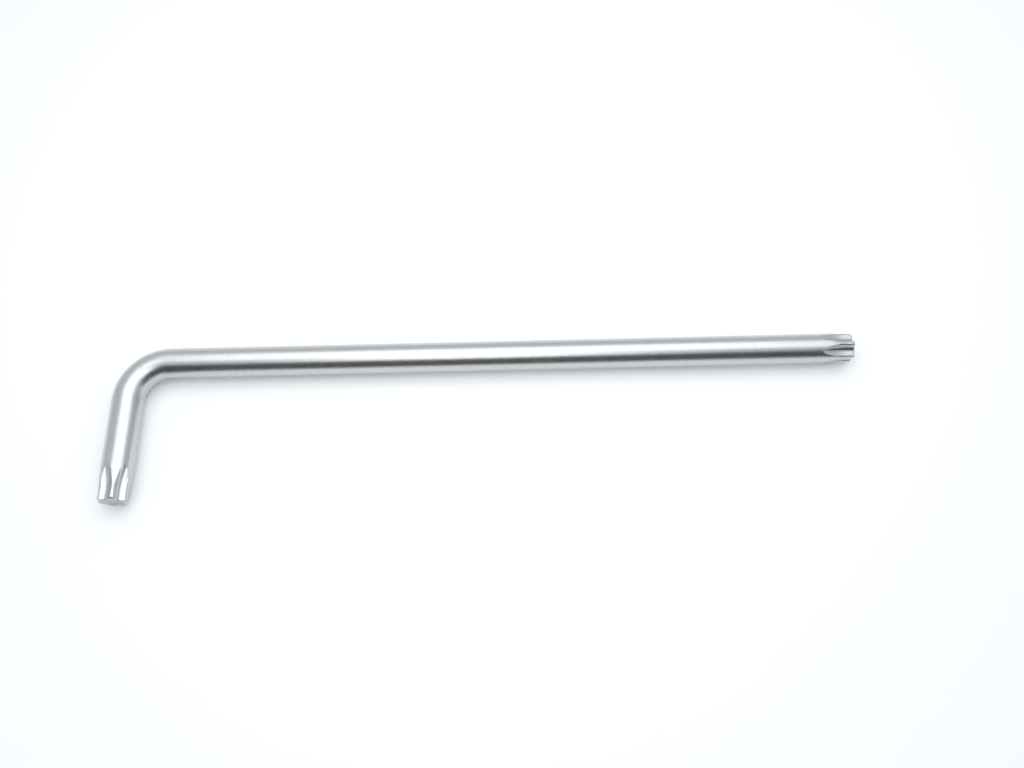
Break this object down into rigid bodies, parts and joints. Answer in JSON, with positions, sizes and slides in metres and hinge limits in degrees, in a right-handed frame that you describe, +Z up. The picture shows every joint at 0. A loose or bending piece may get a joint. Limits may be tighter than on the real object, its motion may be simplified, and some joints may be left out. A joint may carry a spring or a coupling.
{
  "type": "star key",
  "caption": "Long L-shaped star key: a round satin-plated steel bar, bent near one end, with a fluted star tip on each end for turning screws with a lobed star recess.",
  "frame": {"origin": "centre of the outline's box, on the surface that the key lies on", "axes": "+X along the long arm towards its star tip, -Y along the short arm towards its star tip, +Z up from the surface"},
  "size_m": [0.1724, 0.0366, 0.007],
  "materials": {
    "plated_steel": "satin bright plate over ground steel"
  },
  "bodies": {
    "root": {"key": "plated_steel"}
  },
  "joints": []
}
